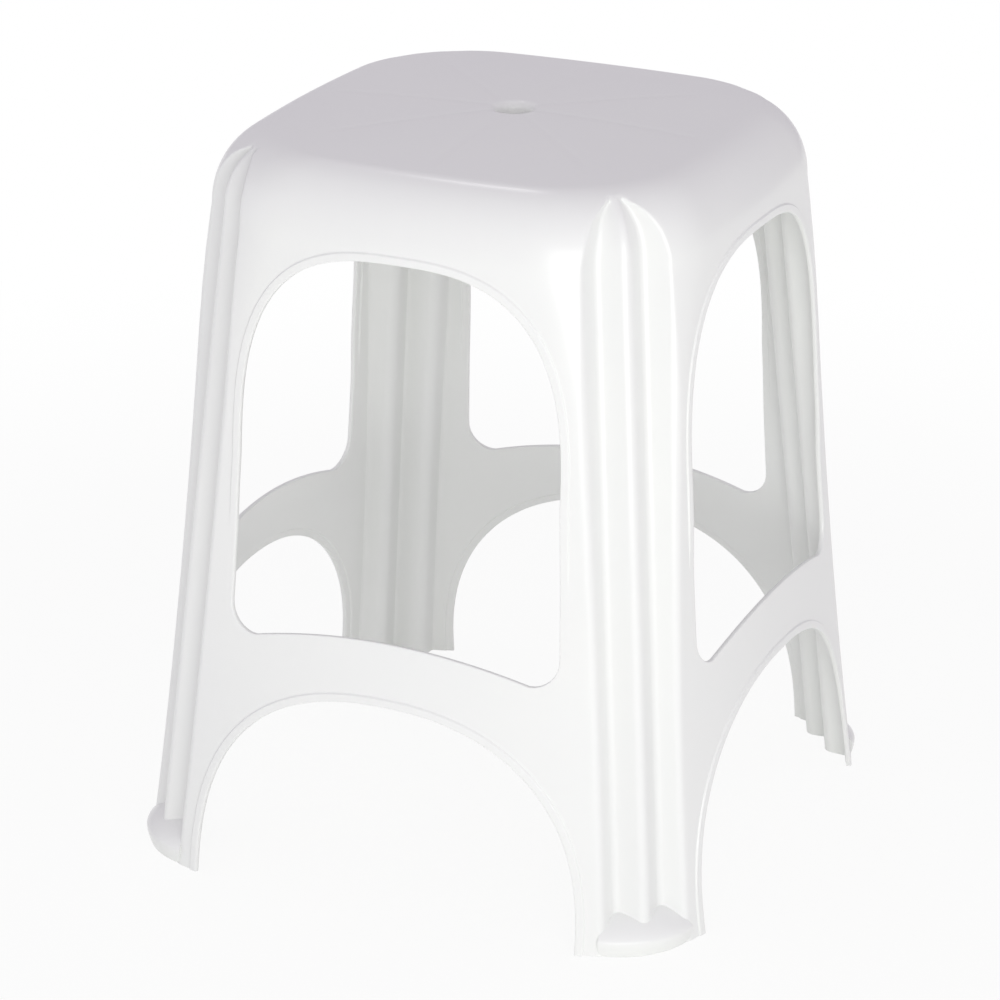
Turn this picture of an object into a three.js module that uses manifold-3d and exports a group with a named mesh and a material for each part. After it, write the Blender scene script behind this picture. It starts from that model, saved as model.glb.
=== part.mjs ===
// A plastic stacking stool, injection moulded in one piece: a bowed square seat whose edge rolls over
// into four aprons, four legs with stepped corners, four bowed stretchers and a rounded cup at each foot.
// Millimetres, +Z up, the origin on the floor under the middle of the seat.
// The moulding is given as its named regions, and neighbours share their cut faces exactly.
import * as THREE from "three";
import { mergeVertices } from "three/addons/utils/BufferGeometryUtils.js";
import Module from "manifold-3d";

const wasm = await Module();
wasm.setup();

// Overall
const stoolHeight = 450;
const wallThickness = 3;

// Side walls: the reach goes from the middle of the stool to the middle of a side, and the bow is
// how far a side falls back from there over the same distance along it
const floorReach = 200;
const seatReach = 157.8;
const reachHollow = 8.9;
const floorBow = 40;
const seatBow = 14.3;
const bowHollow = 8.7;

// Rounded corner that the seat's edge follows, and that the steps of the legs run out into
const footCornerRadius = 28;
const seatCornerRadius = 68;
const cornerGrowthPower = 4;

// Edge of the seat: a quarter ellipse between the walls and the lightly crowned top, and the share of
// its reach that the corner's radius loses as it rolls in
const edgeRise = 43;
const edgeReach = 34;
const edgeCornerShare = 0.35;
const seatCrown = 5;

// Stepped corner of a leg: two square notches, one each side of the corner's middle edge. The insets
// place the first step's edge along a side, back from the side wall next to it
const stepInsetFloor = 58;
const stepInsetTop = 54.3;
const stepRun = 22;
const stepDraft = 1.2;
const stepEdgeRadius = 5;
const stepShoulderRadius = 8.5;
const stepRidgeRadius = 5;
const stepRootRadius = 4;

// The steps narrow over the seat's edge and run out at this depth under the top, with this share of
// their width left
const stepTipDepth = 10;
const stepTipShare = 0.6;

// Arch under each stretcher, and the flank of wall left between it and the first step at the floor
const archRise = 132.5;
const footFlank = 16.5;
const archSideShare = 2.27;
const archCrownShare = 2.43;

// Window in each side, under the apron and over the stretcher, with the flanks left beside it
const apronDepth = 52;
const headRise = 130;
const headFlank = 16.5;
const sillFlank = 21;
const stretcherDepth = 38.5;
const sillFall = 17;
const sillCornerRadius = 17;
const windowHeadShare = 2.8;

// Rim round each window and arch, where the wall steps inwards
const rimWidth = 4.5;
const rimDepth = 1.2;

// Rounded cup round the outer corner of each foot, from just before the first step's edge
const cupInset = 12;
const cupLead = 3;
const cupRadius = 52.5;
const cupBelly = 9.5;
const cupTuck = 2.3;
const cupDomeRise = 12;
const cupDomeReach = 20;
const cupDomeShare = 1.4;
const cupWall = 2.5;

// Lifting hole with its rolled lip and collar, and the ribs that run out from the collar
const holeRadius = 11;
const lipRadius = 4.5;
const collarWall = 2.5;
const collarDepth = 10;
const ribThickness = 2.2;
const ribDepth = 9;
const ribInset = 29.8;
const ribCount = 8;

// Where one named region ends and the next begins
const footTop = 36;
const seatDepth = 26;
const sideInset = 14.5;

// How far a cutting shape runs past what it cuts, and the size of the slivers merged away after it
const overrun = 6;
const sliverSize = 0.02;

// Heights of the section's rings on the walls, as shares of the height of the seat's edge
const ringShares = [0.3, 0.58, 0.79, 0.92, 1];

// How finely the curves are drawn
const wallSteps = 4;
const filletSteps = 2;
const edgeSteps = 6;
const crownSteps = 2;
const sillSteps = 6;
const cornerSteps = 4;
const headSteps = 9;
const archSteps = 12;
const cupSteps = 36;
const cupDomeSteps = 4;
const holeSteps = 24;
const lipSteps = 3;
const bisections = 30;

// Worked out from the sizes above
const shoulderHeight = stoolHeight - seatCrown - edgeRise;
const sectionCore = seatReach - edgeReach - seatCornerRadius;
const far = floorReach + overrun;
const stepTip = stoolHeight - stepTipDepth;
const stepLineFloor = floorReach - stepInsetFloor;
const stepLineTop = seatReach - stepInsetTop;
const stepLineAt = (z) => stepLineFloor + ((stepLineTop - stepLineFloor) * z) / stoolHeight;
const archHalf = stepLineFloor - footFlank;
const windowTop = stoolHeight - apronDepth;
const windowSpring = windowTop - headRise;
const windowHalfTop = stepLineAt(windowSpring) - headFlank;
const sillMiddle = archRise + stretcherDepth;
const windowHalfFoot = stepLineAt(sillMiddle) - sillFlank;
const windowMiddle = (windowSpring + sillMiddle) / 2;
const seatBottom = stoolHeight - seatDepth;
const sideCut = windowHalfTop - sideInset;
const cupCentre = stepLineFloor - cupInset;
const ribReach = seatReach - ribInset;

// Solids from geometries, and back

function solidOf(geometry) {
  const bare = geometry.clone();
  bare.deleteAttribute("normal");
  bare.deleteAttribute("uv");
  const merged = mergeVertices(bare);
  return new wasm.Manifold(new wasm.Mesh({
    numProp: 3,
    vertProperties: merged.attributes.position.array,
    triVerts: merged.index.array,
  }));
}

function geometryOf(solid) {
  const mesh = solid.getMesh();
  const geometry = new THREE.BufferGeometry();
  geometry.setAttribute("position", new THREE.BufferAttribute(mesh.vertProperties, 3));
  geometry.setIndex(new THREE.BufferAttribute(mesh.triVerts, 1));
  geometry.computeVertexNormals();
  return geometry;
}

function boxBetween(low, high) {
  const box = new THREE.Box3(new THREE.Vector3(...low), new THREE.Vector3(...high));
  const size = box.getSize(new THREE.Vector3());
  const centre = box.getCenter(new THREE.Vector3());
  const geometry = new THREE.BoxGeometry(size.x, size.y, size.z);
  return solidOf(geometry.translate(centre.x, centre.y, centre.z));
}

// A profile of radius and height, turned about an upright axis
function turned(profile, steps) {
  return new THREE.LatheGeometry(profile.map(([radius, z]) => new THREE.Vector2(radius, z)), steps)
    .rotateX(Math.PI / 2);
}

// The same feature at each side or corner, by exact quarter turns
function quarterTurned(solid, turns) {
  const c = [1, 0, -1, 0][turns];
  const s = [0, 1, 0, -1][turns];
  return solid.transform([c, s, 0, 0, -s, c, 0, 0, 0, 0, 1, 0, 0, 0, 0, 1]);
}

function onAllSides(solid) {
  return [1, 2, 3].reduce((whole, turns) => whole.add(quarterTurned(solid, turns)), solid);
}

// Section of the walls at one height

function blend(low, high, hollow, z) {
  const q = Math.min(z, shoulderHeight) / stoolHeight;
  return low + (high - low) * q - hollow * 4 * q * (1 - q);
}

const reachAt = (z) => blend(floorReach, seatReach, reachHollow, z);
const bowAt = (z) => blend(floorBow, seatBow, bowHollow, z);
const faceAt = (z, along) => reachAt(z) - bowAt(z) * (along / reachAt(z)) ** 2;

function grown(low, high, z) {
  return low + (high - low) * Math.min(1, Math.max(0, z) / shoulderHeight) ** cornerGrowthPower;
}

const stepRadiusAt = (z) => grown(stepEdgeRadius, stepShoulderRadius, z);
const cornerRadiusAt = (z, inset) => grown(footCornerRadius, seatCornerRadius, z) - edgeCornerShare * inset;

// How far a point of the first quarter lies outside the rounded outline, drawn in by an inset
function outsideBy(point, z, inset) {
  const radius = cornerRadiusAt(z, inset);
  const a = point.y - faceAt(z, point.x) + inset + radius;
  const b = point.x - faceAt(z, point.y) + inset + radius;
  return Math.hypot(Math.max(a, 0), Math.max(b, 0)) + Math.min(Math.max(a, b), 0) - radius;
}

// A point outside the rounded outline is drawn in to it, towards the core of the section, and a point
// inside it keeps a share of its depth
function drawnIn(point, z, inset, depthShare = 1) {
  const outside = outsideBy(point, z, inset) > 0;
  if (!outside && depthShare === 1) return point;
  const core = new THREE.Vector2(Math.min(point.x, sectionCore), Math.min(point.y, sectionCore));
  let low = 0;
  let high = 2;
  for (let i = 0; i < bisections; i += 1) {
    const share = (low + high) / 2;
    if (outsideBy(core.clone().lerp(point, share), z, inset) > 0) high = share;
    else low = share;
  }
  return core.lerp(point, outside ? low : low + (1 - low) * depthShare);
}

// Share of their full size that the steps have at one height
function stepShareAt(z) {
  const q = Math.max(0, z - shoulderHeight) / (stepTip - shoulderHeight);
  return Math.sqrt(Math.max(0, 1 - q ** 2));
}

// Points of the arc that rounds the vertex between two straight runs
function fillet(before, vertex, after, radius, steps) {
  const u = before.clone().sub(vertex).normalize();
  const w = after.clone().sub(vertex).normalize();
  const half = Math.acos(u.dot(w)) / 2;
  const centre = u.clone().add(w).setLength(radius / Math.sin(half)).add(vertex);
  const start = u.setLength(radius / Math.tan(half)).add(vertex).sub(centre);
  const end = w.setLength(radius / Math.tan(half)).add(vertex).sub(centre);
  const turn = Math.atan2(start.cross(end), start.dot(end));
  const middle = new THREE.Vector2();
  return Array.from({ length: steps + 1 }, (_, i) =>
    start.clone().rotateAround(middle, (turn * i) / steps).add(centre));
}

// A quarter of the section, from the middle of one side over the stepped corner to the next side
function quarterSection(z, inset) {
  const line = stepLineAt(z);
  const lead = line - 2 * stepRadiusAt(z);
  const share = stepShareAt(z);
  const width = Math.max(share, stepTipShare);
  const corner = new THREE.Vector2(line + stepRun, line + stepRun);
  const middle = drawnIn(corner, z, inset);
  const narrowed = (x, y) => new THREE.Vector2(x, y).sub(corner).multiplyScalar(width).add(middle);
  const before = narrowed(lead, faceAt(z, lead));
  const edge = narrowed(line, faceAt(z, line));
  const root = drawnIn(narrowed(line + stepDraft, line + stepRun - stepDraft), z, inset, share / width);
  const mirrored = (p) => new THREE.Vector2(p.y, p.x);
  const wall = Array.from({ length: wallSteps + 1 }, (_, i) => {
    const along = (before.x * i) / wallSteps;
    return new THREE.Vector2(along, faceAt(z, along));
  });
  const half = [
    ...wall,
    ...fillet(before, edge, root, stepRadiusAt(z) * width, filletSteps),
    ...fillet(edge, root, middle, stepRootRadius, filletSteps),
  ];
  const ridge = fillet(root, middle, mirrored(root), stepRidgeRadius, filletSteps + 1);
  const quarter = [...half, ...ridge, ...half.map(mirrored).reverse().slice(0, -1)];
  return quarter.map((p) => drawnIn(p, z, inset));
}

// Skin of the whole moulding, as rings of points from below the floor to the seat

function ringAt(z, inset) {
  const quarter = quarterSection(z, inset);
  const turns = [(p) => [p.x, p.y], (p) => [p.y, -p.x], (p) => [-p.x, -p.y], (p) => [-p.y, p.x]];
  return turns.flatMap((turn) => quarter.map((p) => new THREE.Vector3(...turn(p), z)));
}

function skinRings(lowest) {
  const heights = [lowest, footTop, ...ringShares.map((share) => shoulderHeight * share)];
  const rings = heights.map((z) => ringAt(z, 0));
  for (let i = 1; i <= edgeSteps; i += 1) {
    const angle = ((Math.PI / 2) * i) / edgeSteps;
    rings.push(ringAt(shoulderHeight + edgeRise * Math.sin(angle), edgeReach * (1 - Math.cos(angle))));
  }
  const brow = rings[rings.length - 1];
  for (let i = crownSteps; i > 0; i -= 1) {
    const share = i / (crownSteps + 1);
    const z = stoolHeight - seatCrown * share ** 2;
    rings.push(brow.map((p) => new THREE.Vector3(p.x * share, p.y * share, z)));
  }
  return rings;
}

// The rings moved inwards by a depth, square to the skin
function sunkRings(rings, depth) {
  const last = rings.length - 1;
  return rings.map((ring, j) => ring.map((p, k) => {
    const along = ring[(k + 1) % ring.length].clone().sub(ring[(k + ring.length - 1) % ring.length]);
    const up = rings[Math.min(j + 1, last)][k].clone().sub(rings[Math.max(j - 1, 0)][k]);
    return up.cross(along).setLength(-depth).add(p);
  }));
}

// Closed solid inside the skin, the skin being sunk by a depth
function solidWithin(lowest, depth) {
  const rings = depth > 0 ? sunkRings(skinRings(lowest), depth) : skinRings(lowest);
  const count = rings[0].length;
  const points = [...rings.flat(), new THREE.Vector3(0, 0, lowest), new THREE.Vector3(0, 0, stoolHeight - depth)];
  const bottom = points.length - 2;
  const top = points.length - 1;
  const faces = [];
  for (let k = 0; k < count; k += 1) {
    const next = (k + 1) % count;
    faces.push(bottom, k, next);
    for (let j = 0; j < rings.length - 1; j += 1) {
      const low = j * count;
      const high = low + count;
      faces.push(low + k, high + k, high + next, low + k, high + next, low + next);
    }
    const brim = (rings.length - 1) * count;
    faces.push(brim + k, top, brim + next);
  }
  const geometry = new THREE.BufferGeometry().setFromPoints(points);
  geometry.setIndex(faces);
  return solidOf(geometry);
}

// Quarter of a superellipse from its side to its crown, as shares of its two half sizes
function quarterCurve(steps, sideShare, crownShare) {
  return Array.from({ length: steps + 1 }, (_, i) => {
    const angle = ((Math.PI / 2) * i) / steps;
    return [Math.abs(Math.cos(angle)) ** (2 / sideShare), Math.sin(angle) ** (2 / crownShare)];
  });
}

// Openings: half outlines from the middle of the bottom to the middle of the top, along and up a side

function windowHalf() {
  const points = [];
  const flat = windowHalfFoot - sillCornerRadius;
  const sill = (along) => sillMiddle - sillFall * (along / windowHalfFoot) ** 2;
  for (let i = 0; i < sillSteps; i += 1) {
    const along = (flat * i) / sillSteps;
    points.push([along, sill(along)]);
  }
  for (let i = 0; i <= cornerSteps; i += 1) {
    const angle = ((Math.PI / 2) * i) / cornerSteps;
    points.push([
      flat + sillCornerRadius * Math.sin(angle),
      sill(flat) + sillCornerRadius * (1 - Math.cos(angle)),
    ]);
  }
  const head = quarterCurve(headSteps, windowHeadShare, windowHeadShare)
    .map(([across, up]) => [windowHalfTop * across, windowSpring + (windowTop - windowSpring) * up]);
  return [...points, ...head];
}

function archHalfOutline() {
  const arch = quarterCurve(archSteps, archSideShare, archCrownShare)
    .map(([across, up]) => [archHalf * across, archRise * up]);
  return [[0, -2 * overrun], [archHalf, -2 * overrun], ...arch];
}

function wholeOutline(half) {
  const right = half.map(([along, up]) => new THREE.Vector2(along, up));
  const left = right.slice(1, -1).reverse().map((p) => new THREE.Vector2(-p.x, p.y));
  return [...right, ...left];
}

// The outline moved outwards, square to itself
function widened(outline, width) {
  const count = outline.length;
  return outline.map((p, i) => {
    const before = p.clone().sub(outline[(i + count - 1) % count]).normalize();
    const after = outline[(i + 1) % count].clone().sub(p).normalize();
    const along = before.clone().add(after).normalize();
    return new THREE.Vector2(along.y, -along.x).multiplyScalar(width / along.dot(after)).add(p);
  });
}

// Prism that passes out through the front wall over an outline
function throughFront(outline) {
  const depth = far - sideCut;
  const geometry = new THREE.ExtrudeGeometry(new THREE.Shape(outline), { depth, bevelEnabled: false });
  return solidOf(geometry.translate(0, 0, sideCut).rotateX(Math.PI / 2));
}

// Solids inside the skin at four depths

const outer = solidWithin(-overrun, 0);
const rimFloor = solidWithin(-2 * overrun, rimDepth);
const hollow = solidWithin(-2 * overrun, wallThickness);
const rimHollow = solidWithin(-2 * overrun, wallThickness + rimDepth);

// Foot cup: a shallow dome about the foot's corner, hollow in the notches and open to the floor

function cupProfile(radius, rise) {
  const dome = quarterCurve(cupDomeSteps, cupDomeShare, cupDomeShare)
    .map(([across, up]) => [radius - cupDomeReach * (1 - across), cupBelly + rise * up]);
  return [[0, -overrun], [radius - cupTuck, -overrun], [radius - cupTuck, 0], ...dome, [0, cupBelly + rise]];
}

function cupDome(inset) {
  const lead = stepLineFloor - cupLead;
  const profile = cupProfile(cupRadius - inset, cupDomeRise - inset);
  return solidOf(turned(profile, cupSteps).translate(cupCentre, -cupCentre, 0))
    .intersect(boxBetween([lead, -far, -overrun], [far, -lead, footTop]));
}

function cupCells() {
  const near = stepLineFloor + stepRootRadius;
  const wide = stepLineFloor + stepRun - stepRootRadius;
  const notches = boxBetween([near, -far, -overrun], [wide, -near, footTop])
    .add(boxBetween([near, -wide, -overrun], [far, -near, footTop]));
  return cupDome(cupWall).intersect(notches).subtract(outer);
}

// The shell and its foot cups, with the openings. Each rim is sunk into the skin and stands as far into
// the hollow, so the wall keeps its thickness there

function openedShell() {
  const outlines = [windowHalf(), archHalfOutline()].map(wholeOutline);
  const openings = outlines.map((outline) => onAllSides(throughFront(outline)));
  const rims = outlines.map((outline) => onAllSides(throughFront(widened(outline, rimWidth))));
  const cut = (solid, tool) => solid.subtract(tool);
  const domes = onAllSides(cupDome(0));
  const cells = onAllSides(cupCells());
  const skin = rims.map((rim) => rim.subtract(rimFloor)).reduce(cut, outer.add(domes));
  const cavity = rims.map((rim) => rim.subtract(rimHollow)).reduce(cut, hollow).add(cells);
  return openings.reduce(cut, skin.subtract(cavity));
}

// Seat details: collar and ribs below the top, and the hole with its rolled lip

function seatDetails() {
  const ribBottom = stoolHeight - wallThickness - ribDepth;
  const ribTop = stoolHeight - wallThickness;
  let details = solidOf(turned([
    [0, stoolHeight - wallThickness - collarDepth],
    [holeRadius + collarWall, stoolHeight - wallThickness - collarDepth],
    [holeRadius + collarWall, stoolHeight],
    [0, stoolHeight],
  ], holeSteps));
  for (let i = 0; i < ribCount; i += 1) {
    const box = new THREE.BoxGeometry(ribReach, ribThickness, ribTop - ribBottom);
    box.translate(ribReach / 2, 0, (ribTop + ribBottom) / 2).rotateZ((2 * Math.PI * i) / ribCount);
    details = details.add(solidOf(box));
  }
  return details.intersect(outer);
}

function lipCutter() {
  const profile = [[0, seatBottom], [holeRadius, seatBottom]];
  for (let i = 0; i <= lipSteps; i += 1) {
    const angle = ((Math.PI / 2) * i) / lipSteps;
    profile.push([
      holeRadius + lipRadius * (1 - Math.cos(angle)),
      stoolHeight - lipRadius * (1 - Math.sin(angle)),
    ]);
  }
  profile.push([holeRadius + lipRadius, stoolHeight + overrun], [0, stoolHeight + overrun]);
  return solidOf(turned(profile, holeSteps));
}

// Named regions, each with its part of the shell

const plastic = new THREE.MeshStandardMaterial({ color: 0xf1f1ef, roughness: 0.28, metalness: 0 });
const stool = new THREE.Group();
stool.name = "stacking_stool";

function addRegion(name, solid) {
  const mesh = new THREE.Mesh(geometryOf(solid.simplify(sliverSize)), plastic.clone());
  mesh.name = name;
  stool.add(mesh);
}

const shell = openedShell();
const sideNames = ["front", "right", "back", "left"];
const cornerNames = ["front_right", "back_right", "back_left", "front_left"];

const seat = shell.add(seatDetails()).subtract(lipCutter())
  .intersect(boxBetween([-far, -far, seatBottom], [far, far, stoolHeight + overrun]));
const apron = shell.intersect(boxBetween([-sideCut, -far, windowMiddle], [sideCut, -sideCut, seatBottom]));
const stretcher = shell.intersect(boxBetween([-sideCut, -far, 0], [sideCut, -sideCut, windowMiddle]));
const leg = shell.intersect(boxBetween([sideCut, -far, footTop], [far, -sideCut, seatBottom]));
const foot = shell.intersect(boxBetween([sideCut, -far, 0], [far, -sideCut, footTop]));

addRegion("seat_panel", seat);
sideNames.forEach((side, turns) => {
  addRegion(`apron_${side}`, quarterTurned(apron, turns));
  addRegion(`stretcher_${side}`, quarterTurned(stretcher, turns));
});
cornerNames.forEach((corner, turns) => {
  addRegion(`leg_${corner}`, quarterTurned(leg, turns));
  addRegion(`foot_${corner}`, quarterTurned(foot, turns));
});

export default stool;
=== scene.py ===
import math
import bmesh
import bpy
from mathutils import Matrix, Vector


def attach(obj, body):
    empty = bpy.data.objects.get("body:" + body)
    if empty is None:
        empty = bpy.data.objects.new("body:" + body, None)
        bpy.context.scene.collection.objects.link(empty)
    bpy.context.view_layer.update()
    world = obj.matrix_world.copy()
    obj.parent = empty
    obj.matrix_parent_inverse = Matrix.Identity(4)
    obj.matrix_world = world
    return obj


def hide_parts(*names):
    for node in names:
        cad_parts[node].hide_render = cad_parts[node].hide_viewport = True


# A white plastic stacking stool, moulded in one piece. The stool's sizes are in millimetres and become
# metres where a mesh is made. Along is the way along a side, out is the way out from the middle

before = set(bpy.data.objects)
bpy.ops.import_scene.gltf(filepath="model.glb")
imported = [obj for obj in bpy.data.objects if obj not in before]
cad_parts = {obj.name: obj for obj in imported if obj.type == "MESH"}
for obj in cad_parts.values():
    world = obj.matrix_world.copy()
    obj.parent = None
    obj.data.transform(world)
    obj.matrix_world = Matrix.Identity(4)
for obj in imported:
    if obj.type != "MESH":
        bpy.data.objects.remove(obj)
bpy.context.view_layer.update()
millimetre = 0.001
tiny = 1e-6    # millimetres within which two places are the same
farOff = 100    # distance from the openings that stands for every point beyond their rims
print("frame loaded:", len(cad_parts), "nodes")

walls = {
    "height": 450, "thickness": 3,
    "floorReach": 200, "seatReach": 157.8, "reachHollow": 8.9,    # middle of the stool to a side's middle
    "floorBow": 40, "seatBow": 14.3, "bowHollow": 8.7,    # how far a side falls back towards its corners
    "floorCorner": 28, "seatCorner": 68, "cornerGrowth": 4,    # rounded corner that the steps run out into
    "tightening": 0.35,    # of that corner as the seat's edge rolls in
    "outlineRounds": 6, "halvings": 24,    # repeats of the two searches for a point on the rounded outline
}
edge = {    # the seat's rolled edge, its turns in degrees, and the crowned top
    "rise": 43, "reach": 34, "crown": 5, "panelTurn": 15, "turn": 5, "lastTurn": 86.4,
    "crownRings": 12, "crownCrowding": 0.85,
}
steps = {
    "floorInset": 58, "seatInset": 54.3, "run": 22, "draft": 1.2, "lead": 0.3,
    "edgeRadius": 5, "shoulderRadius": 8.5, "ridgeRadius": 5, "rootRadius": 4, "leastRadius": 3.2,
    "tipDepth": 10, "tipShare": 0.25,    # depth under the top where they run out, and their least width
    "filletCells": 6, "straightCells": 6,
}

shoulder = walls["height"] - edge["crown"] - edge["rise"]
core = walls["seatReach"] - edge["reach"] - walls["seatCorner"]
floorLine = walls["floorReach"] - steps["floorInset"]
seatLine = walls["seatReach"] - steps["seatInset"]


# Section of the walls at one height

def blend(low, high, hollow, z):
    q = min(z, shoulder) / walls["height"]
    return low + (high - low) * q - hollow * 4 * q * (1 - q)


def reachAt(z):
    return blend(walls["floorReach"], walls["seatReach"], walls["reachHollow"], z)


def faceAt(z, along):
    bow = blend(walls["floorBow"], walls["seatBow"], walls["bowHollow"], z)
    return reachAt(z) - bow * (along / reachAt(z)) ** 2


def lineAt(z):
    return floorLine + (seatLine - floorLine) * z / walls["height"]


def insetAt(z):    # how far the seat's edge has rolled in above the shoulder
    share = min(1, max(0, z - shoulder) / edge["rise"])
    return edge["reach"] * (1 - math.sqrt(1 - share ** 2))


def grown(low, high, z):
    return low + (high - low) * min(1, max(0, z) / shoulder) ** walls["cornerGrowth"]


def cornerAt(z):
    return grown(walls["floorCorner"], walls["seatCorner"], z) - walls["tightening"] * insetAt(z)


def skinAt(along, z):    # point of the front side's skin, on the rounded outline near its ends
    inset = insetAt(z)
    out = faceAt(z, along) - inset
    for i in range(walls["outlineRounds"]):
        over = along - faceAt(z, out) + inset + cornerAt(z)
        if over > 0:
            out = faceAt(z, along) - inset - cornerAt(z) + math.sqrt(cornerAt(z) ** 2 - over ** 2)
    return Vector((along, -out, z))


def outsideBy(point, z, inset):    # distance outside the rounded outline, less than zero inside it
    radius = cornerAt(z)
    a = point.y - faceAt(z, point.x) + inset + radius
    b = point.x - faceAt(z, point.y) + inset + radius
    return math.hypot(max(a, 0), max(b, 0)) + min(max(a, b), 0) - radius


def drawnIn(point, z, inset, depthShare=1):
    # a point outside the rounded outline moves in to it, and one inside it keeps a share of its depth
    isOutside = outsideBy(point, z, inset) > 0
    if not isOutside and depthShare == 1:
        return point
    middle = Vector((min(point.x, core), min(point.y, core)))
    low, high = 0, 2
    for i in range(walls["halvings"]):
        share = (low + high) / 2
        if outsideBy(middle.lerp(point, share), z, inset) > 0:
            high = share
        else:
            low = share
    return middle.lerp(point, low if isOutside else low + (1 - low) * depthShare)


def fillet(before, vertex, after, radius, cells):    # points of an arc that rounds a corner
    u = (before - vertex).normalized()
    w = (after - vertex).normalized()
    half = math.acos(u.dot(w)) / 2
    centre = vertex + (u + w).normalized() * radius / math.sin(half)
    start = vertex + u * radius / math.tan(half) - centre
    end = vertex + w * radius / math.tan(half) - centre
    turn = math.atan2(start.x * end.y - start.y * end.x, start.dot(end))
    return [centre + Matrix.Rotation(turn * i / cells, 2) @ start for i in range(cells + 1)]


def stepShare(z):    # of their full size, as the steps run out over the seat's edge
    share = max(0, z - shoulder) / (walls["height"] - steps["tipDepth"] - shoulder)
    return math.sqrt(max(0, 1 - share ** 2))


def stepPlaces(z):    # the corner's middle before and after it is drawn in, and the steps' width as a share
    corner = Vector((lineAt(z) + steps["run"], lineAt(z) + steps["run"]))
    return corner, drawnIn(corner, z, insetAt(z)), max(stepShare(z), steps["tipShare"])


def edgeRounding(z):
    width = stepPlaces(z)[2]
    return max(steps["leastRadius"], grown(steps["edgeRadius"], steps["shoulderRadius"], z) * width)


def panelEnd(z):    # along a side, where the panel ends and the steps begin
    middle, width = stepPlaces(z)[1:]
    return middle.x - width * steps["run"] - edgeRounding(z) - steps["lead"]


def stepSection(z):    # from the first step's edge to the corner's middle
    corner, middle, width = stepPlaces(z)
    line = lineAt(z)

    def narrowed(along, out):
        return middle + (Vector((along, out)) - corner) * width

    wall = Vector((panelEnd(z), 0))
    wall.y = faceAt(z, wall.x)
    edgePoint = narrowed(line, faceAt(z, line))
    root = narrowed(line + steps["draft"], line + steps["run"] - steps["draft"])
    root = drawnIn(root, z, insetAt(z), stepShare(z) / width)
    cells = steps["filletCells"]
    ridgeRadius = max(steps["leastRadius"], steps["ridgeRadius"] * width)
    first = fillet(wall, edgePoint, root, edgeRounding(z), cells)
    second = fillet(edgePoint, root, middle, steps["rootRadius"] * width, cells)
    third = fillet(root, middle, Vector((root.y, root.x)), ridgeRadius, cells)[: cells // 2 + 1]
    points = list(first)
    straight = [i / steps["straightCells"] for i in range(1, steps["straightCells"])]
    for last, following in ((first[-1], second), (second[-1], third)):
        points += [last.lerp(following[0], share) for share in straight]
        points += following
    points = [drawnIn(point, z, insetAt(z)) for point in points]
    points[-1].x = points[-1].y = (points[-1].x + points[-1].y) / 2
    return [Vector((point.x, -point.y, z)) for point in points]


# Outlines of the openings on one half of a side, as along and z. Counts are those of an outline's points
arch = {"rise": 132.5, "flank": 16.5, "sideShare": 2.27, "crownShare": 2.43, "haunch": 98, "count": 400}
window = {
    "apron": 52, "headRise": 130, "headFlank": 16.5, "sillFlank": 21, "stretcher": 38.5,
    "sillFall": 17, "cornerRadius": 17, "headShare": 2.8,
    "sillCount": 80, "cornerCount": 40, "sideCount": 60, "headCount": 300,
}
windowSpring = walls["height"] - window["apron"] - window["headRise"]    # where the arched head begins


def quarterTurns(count):    # even angles from zero to a right angle
    return [math.pi / 2 * i / count for i in range(count + 1)]


def superellipse(halfWidth, height, sideShare, crownShare, count):
    alongs = [halfWidth * abs(math.cos(a)) ** (2 / sideShare) for a in quarterTurns(count)]
    heights = [height * math.sin(a) ** (2 / crownShare) for a in quarterTurns(count)]
    return [Vector(point) for point in zip(alongs, heights)]


def windowOutline():    # middle of the sill to the middle of the head
    sillMiddle = arch["rise"] + window["stretcher"]
    halfTop = lineAt(windowSpring) - window["headFlank"]
    halfFoot = lineAt(sillMiddle) - window["sillFlank"]
    radius = window["cornerRadius"]
    flat = halfFoot - radius

    def sillAt(along):
        return sillMiddle - window["sillFall"] * (along / halfFoot) ** 2

    places = [flat * i / window["sillCount"] for i in range(window["sillCount"])]
    sill = [Vector((along, sillAt(along))) for along in places]
    base = sillAt(flat)
    corner = [Vector((flat + radius * math.sin(a), base + radius * (1 - math.cos(a))))
              for a in quarterTurns(window["cornerCount"])]
    shares = [i / window["sideCount"] for i in range(1, window["sideCount"])]
    side = [corner[-1].lerp(Vector((halfTop, windowSpring)), share) for share in shares]
    squareness = window["headShare"]
    head = superellipse(halfTop, window["headRise"], squareness, squareness, window["headCount"])
    return sill + corner + side + [Vector((0, windowSpring)) + point for point in head]


def archOutline():    # crown to the floor
    half = floorLine - arch["flank"]
    return superellipse(half, arch["rise"], arch["sideShare"], arch["crownShare"], arch["count"])[::-1]


def lengths(outline):    # distance along an outline from its start to each of its points
    total = [0]
    for a, b in zip(outline, outline[1:]):
        total.append(total[-1] + (b - a).length)
    return total


def spaced(outline, start, end, cells, sign):
    # points evenly spaced along a stretch of an outline, each with its direction away from the opening
    total = lengths(outline)
    end = min(end, total[-1])
    found = []
    for i in range(cells + 1):
        wanted = start + (end - start) * i / cells
        k = max(1, next((j for j, length in enumerate(total) if length >= wanted - tiny), len(total) - 1))
        share = (wanted - total[k - 1]) / (total[k] - total[k - 1])
        point = outline[k - 1].lerp(outline[k], share)
        ahead = outline[min(k + 1, len(outline) - 1)] - outline[max(k - 2, 0)]
        away = Vector((ahead.y, -ahead.x)).normalized() * sign
        if point.x < tiny:
            away = Vector((0, math.copysign(1, away.y)))
        if point.y < tiny:
            away = Vector((1, 0))
        found.append((point, away))
    return found


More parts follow.
